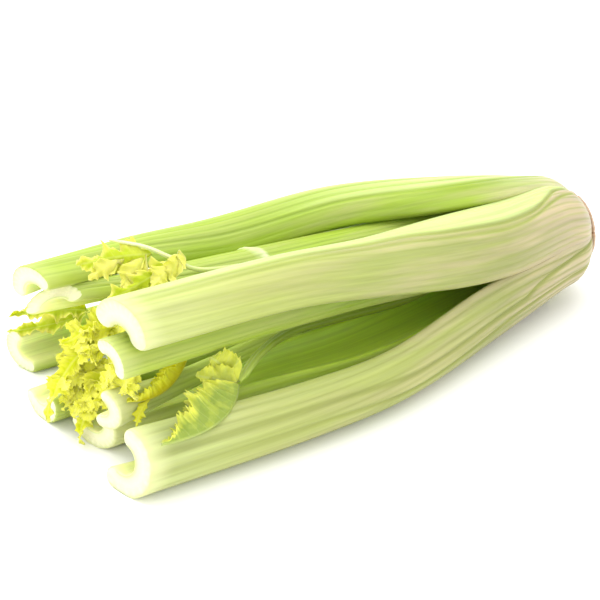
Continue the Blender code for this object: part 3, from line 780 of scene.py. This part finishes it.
def blade_reach(t, web, teeth, rng):
    """How far one side of a leaflet reaches from its midrib, as a share of its half width."""
    reach = web * np.sin(np.pi * t ** (1.25 - 0.75 * web)) ** 0.7
    for place, length, width in LOBES:
        place = place + rng.uniform(-0.03, 0.03)
        length = length * rng.uniform(0.85, 1.1)
        reach = np.maximum(reach, length * np.clip(1 - (np.abs(t - place) / width) ** 1.5, 0, 1))
    saw = (t * teeth) % 1
    size = np.array([rng.uniform(0.5, 1.3) for _ in range(teeth + 1)])[(t * teeth).astype(int)]
    points = TOOTH * (1 - np.abs(2 * saw - 1)) ** 1.3 * size * np.sin(np.pi * t) ** 0.4
    return reach + points - TOOTH * 0.4 * np.sin(np.pi * t)


def on_midrib(base, middle, tip, t):
    """The midrib's curve at t, and its direction there."""
    point = base * (1 - t) * (1 - 2 * t) + middle * 4 * t * (1 - t) + tip * t * (2 * t - 1)
    along = base * (4 * t - 3) + middle * (4 - 8 * t) + tip * (4 * t - 1)
    return point, along / np.linalg.norm(along, axis=-1, keepdims=True)


def leaflet(base, middle, tip, face, half_width, fold, ruffle, web, rng):
    """One leaflet's middle surface: points, its normals, and the values that its material reads."""
    base, middle, tip, face = (np.array(p, float) for p in (base, middle, tip, face))
    length = np.linalg.norm(middle - base) + np.linalg.norm(tip - middle)
    fold = math.radians(fold)
    t = np.linspace(0, 1, round(LEAST_RINGS + RINGS_PER_MM * length))
    teeth = max(4, round(length / TOOTH_SPACING))
    long_wave, short_wave = (math.pi * length / wave for wave in WAVE_LENGTHS)
    phase = [rng.uniform(0, 6.3) for _ in range(4)]
    rows, normals, marks = [], [], []
    for sign in (-1, 1):
        reach = blade_reach(t, web, teeth, rng) * half_width
        cells = np.linspace(0, 1, BLADE_CELLS + 1)
        # From here a value is one of a grid, along the midrib and then outwards from it.
        ahead = t[:, None, None]
        q = (cells[1:] if sign > 0 else cells[::-1])[None, :, None]
        width = reach[:, None, None] * q
        centre, along = on_midrib(base, middle, tip, ahead + width * VEIN_SWEEP / length * (1 - ahead ** 3))
        across = np.cross(along, face)
        across /= np.linalg.norm(across, axis=2, keepdims=True)
        up = np.cross(across, along)
        bent = 1 - np.exp(-width / FOLD_ROUNDING)
        aside = width * math.cos(fold) + FOLD_ROUNDING * (1 - math.cos(fold)) * bent
        above = math.sin(fold) * (width - FOLD_ROUNDING * bent)
        normal = up * np.cos(fold * bent) - across * sign * np.sin(fold * bent)
        veins = np.abs(np.sin(math.pi * ahead * teeth / 2))
        swell = ruffle * q ** 2 * np.sin(long_wave * ahead + phase[sign + 1])
        swell = swell + 0.5 * ruffle * q ** 1.5 * np.sin(short_wave * ahead + phase[sign + 2])
        pillow = np.sqrt(q * (1 - 0.5 * q)) * np.sin(np.pi * ahead) ** 0.4
        swell = swell + PUCKER * (veins ** 0.6 - 0.6) * pillow
        surface = centre + across * sign * aside + up * above + normal * swell
        stray = [noise.noise_vector(Vector(point) / CRUMPLE_SIZE) for point in surface.reshape(-1, 3)]
        rows.append(surface + np.array(stray).reshape(surface.shape) * CRUMPLE * ruffle * q)
        normals.append(normal)
        marks.append(np.concatenate(np.broadcast_arrays(q, width / half_width, veins), axis=2))
    return (np.concatenate(grids, axis=1) for grids in (rows, normals, marks))


def sprigs(base, middle, tip, face, half_width, fold, ruffle, web, rng):
    """The small leaflets that grow in pairs along a leaflet's midrib."""
    base, middle, tip, face = (np.array(p, float) for p in (base, middle, tip, face))
    for t in SPRIG_PLACES:
        start, along = on_midrib(base, middle, tip, t)
        across = np.cross(along, face)
        for hand in (-1, 1):
            way = along * rng.uniform(0.4, 0.9) + across * hand + face * rng.uniform(-0.6, 0.9)
            way *= half_width * SPRIG_LENGTH * rng.uniform(0.8, 1.2) * (1.2 - 0.5 * t) / np.linalg.norm(way)
            leaning = face + across * rng.uniform(-0.6, 0.6)
            droop = np.array((0.0, 0.0, rng.uniform(-2.0, 0.5)))
            yield (start, start + way * 0.55, start + way + droop, leaning, half_width * SPRIG_WIDTH, fold,
                   ruffle * SPRIG_RUFFLE, web)


def plate_faces(first, rows, columns):
    """A thin plate's faces. Its upper side is a grid of points from first on, its under side the next."""
    def at(k, i, side):
        return first + (side * rows + k) * columns + i

    faces = []
    for k in range(rows - 1):
        for i in range(columns - 1):
            faces.append((at(k, i, 0), at(k + 1, i, 0), at(k + 1, i + 1, 0), at(k, i + 1, 0)))
            faces.append((at(k, i, 1), at(k, i + 1, 1), at(k + 1, i + 1, 1), at(k + 1, i, 1)))
        for i, turn in ((0, 1), (columns - 1, -1)):
            faces.append((at(k, i, 0), at(k + 1, i, 0), at(k + 1, i, 1), at(k, i, 1))[::turn])
    for k, turn in ((0, -1), (rows - 1, 1)):
        for i in range(columns - 1):
            faces.append((at(k, i, 0), at(k, i + 1, 0), at(k, i + 1, 1), at(k, i, 1))[::turn])
    return faces


def build_leaf(name, leaflets, material, number):
    """A leaf's blade, as one thin plate for each leaflet with the midrib raised on its under side."""
    rng = random.Random(100 + number)
    points, faces, blade = [], [], []
    if name.startswith("heart"):
        leaflets = [*leaflets, *(small for facts in leaflets for small in sprigs(*facts, rng))]
    for place, facts in enumerate(leaflets):
        half_width = facts[4]
        top, up, marks = leaflet(*facts, rng)
        marks[..., 0] = np.maximum(marks[..., 0], YOUTH * min(1, place))
        rows, columns = top.shape[:2]
        along = np.linspace(0, 1, rows)[:, None, None]
        rib = MIDRIB_HEIGHT * groove(marks[..., 1:2] * half_width, 0.6) * (1 - 0.8 * along)
        faces += plate_faces(sum(len(p) for p in points), rows, columns)
        points.append((top + up * BLADE_THICKNESS / 2).reshape(-1, 3))
        points.append((top - up * (BLADE_THICKNESS / 2 + rib)).reshape(-1, 3))
        blade += [marks.reshape(-1, 3)] * 2
    add_piece(name + "_blade", np.concatenate(points), faces, [material],
              {"blade": np.concatenate(blade)}, name)


def make_leaf_blade(name, heart, margin, margin_start, vein, vein_most):
    """A celery leaf, soft and thin: matt wax on top, and light comes through it."""
    material, tree, shader = new_material(name, roughness=0.5, subsurface=0.45, radius=(2.0, 2.0, 0.4))
    shader.inputs["Specular IOR Level"].default_value = 0.2
    blade = add_node(tree, "Attribute", attribute_name="blade").outputs["Vector"]
    axes = add_node(tree, "SeparateXYZ", {"Vector": blade}).outputs
    place = add_node(tree, "TexCoord").outputs["Object"]
    # Clouds of colour are about 6 mm wide, and the net of small veins has meshes of 1.5 mm.
    cloud = add_node(tree, "TexNoise", {"Vector": place, "Scale": 160.0, "Detail": 3.0}).outputs["Fac"]
    toward = add_node(tree, "MapRange", {"Value": axes["X"], "From Min": margin_start}).outputs["Result"]
    spread = add_node(tree, "MapRange", {"Value": cloud, "From Min": 0.35, "From Max": 0.65, "To Min": -0.2,
                                         "To Max": 0.2}).outputs["Result"]
    edge = add_node(tree, "Math", {0: toward, 1: spread}, operation="ADD", use_clamp=True).outputs["Value"]
    tone = add_node(tree, "Mix", {0: edge, 6: linear(heart), 7: linear(margin)}, data_type="RGBA").outputs[2]
    line = add_node(tree, "MapRange", {"Value": axes["Z"], "From Min": 0.25, "From Max": 0.05,
                                       "To Max": vein_most / 2}).outputs["Result"]
    middle = add_node(tree, "MapRange", {"Value": axes["Y"], "From Min": 0.09, "From Max": 0.03,
                                         "To Max": vein_most}).outputs["Result"]
    veined = add_node(tree, "Math", {0: line, 1: middle}, operation="MAXIMUM").outputs["Value"]
    colour = add_node(tree, "Mix", {0: veined, 6: tone, 7: linear(vein)}, data_type="RGBA").outputs[2]
    net = add_node(tree, "TexVoronoi", {"Vector": place, "Scale": 700.0}, feature="DISTANCE_TO_EDGE")
    relief = add_node(tree, "Bump", {"Height": net.outputs["Distance"], "Strength": 0.3,
                                     "Distance": 0.3 * MM})
    tree.links.new(colour, shader.inputs["Base Color"])
    tree.links.new(relief.outputs["Normal"], shader.inputs["Normal"])
    return material


heart_blade = make_leaf_blade("heart_leaf_blade", "#c8d022", "#f0ee66", 0.3, "#e2e080", 0.4)
gold_blade = make_leaf_blade("curled_leaf_blade", "#c4bc22", "#dee044", 0.3, "#d8da78", 0.3)
lime_blade = make_leaf_blade("young_leaf_blade", "#a4b21c", "#ddd66c", 0.4, "#c8cf74", 0.25)
green_blade = make_leaf_blade("green_leaf_blade", "#8a9c44", "#dadd58", 0.6, "#bcc880", 0.4)
BLADES = {"heart": heart_blade, "curled": gold_blade, "top": lime_blade, "back": lime_blade,
          "side": green_blade}
noise.seed_set(CRUMPLE_SEED)  # so that the crumpling's clouds are the same in every run
for number, (name, leaflets) in enumerate(LEAVES.items()):
    build_leaf(name, leaflets, BLADES[name.split("_")[0]], number)

# ---------------------------------------------------------------- the setting
# A plain white table. The strongest of five large soft lamps is behind the head, the next above it,
# and weak ones are in front and at both sides, with the light of a white room all round.
FLOOR_SIDE = 6.0
ROOM_LIGHT = 1.05
CAMERA_AZIMUTH, CAMERA_ELEVATION = math.radians(-29.3), math.radians(30.0)
CAMERA_DISTANCE = 0.911
CAMERA_LENS, SENSOR = 100.0, 36.0
TARGET = Vector((-0.01096, 0.01372, 0.0316))
# name: where from its target, size in metres and power in watts
LAMPS = {
    "back_lamp": ((-0.4, 0.7, 1.0), 0.9, 11.8),
    "top_lamp": ((0.2, -0.1, 1.3), 1.1, 6.8),
    "left_lamp": ((-1.0, -0.3, 0.6), 1.2, 2.8),
    "front_lamp": ((-0.1, -1.2, 0.5), 1.2, 3.2),
    "right_lamp": ((1.1, -0.5, 0.5), 1.2, 2.6),
}

floor_mesh = bpy.data.meshes.new("table")
corners = [(x * FLOOR_SIDE / 2, y * FLOOR_SIDE / 2, 0) for x, y in ((-1, -1), (1, -1), (1, 1), (-1, 1))]
floor_mesh.from_pydata(corners, [], [(0, 1, 2, 3)])
floor = bpy.data.objects.new("table", floor_mesh)
bpy.context.scene.collection.objects.link(floor)
# White laminate board, pressed matt, so that it gives a plain white and only faint soft shadows.
floor_material, _, floor_shader = new_material("matt_white_laminate", roughness=0.8)
floor_shader.inputs["Base Color"].default_value = linear("#f7f7f5")
floor_mesh.materials.append(floor_material)

camera_data = bpy.data.cameras.new("camera")
camera_data.lens = CAMERA_LENS
camera_data.sensor_width = SENSOR
camera = bpy.data.objects.new("camera", camera_data)
bpy.context.scene.collection.objects.link(camera)
back = Vector((math.sin(CAMERA_AZIMUTH) * math.cos(CAMERA_ELEVATION),
               -math.cos(CAMERA_AZIMUTH) * math.cos(CAMERA_ELEVATION), math.sin(CAMERA_ELEVATION)))
camera.location = TARGET + back * CAMERA_DISTANCE
camera.rotation_euler = back.to_track_quat("Z", "Y").to_euler()
bpy.context.scene.camera = camera

for name, (place, size, power) in LAMPS.items():
    light = bpy.data.lights.new(name, "AREA")
    light.size = size
    light.energy = power
    lamp = bpy.data.objects.new(name, light)
    lamp.location = TARGET + Vector(place)
    lamp.rotation_euler = Vector(place).to_track_quat("Z", "Y").to_euler()
    bpy.context.scene.collection.objects.link(lamp)

room = bpy.data.worlds.new("white_room")
room.use_nodes = True
room.node_tree.nodes["Background"].inputs["Color"].default_value = linear("#ffffff")
room.node_tree.nodes["Background"].inputs["Strength"].default_value = ROOM_LIGHT
bpy.context.scene.world = room
bpy.context.scene.view_settings.view_transform = "Standard"
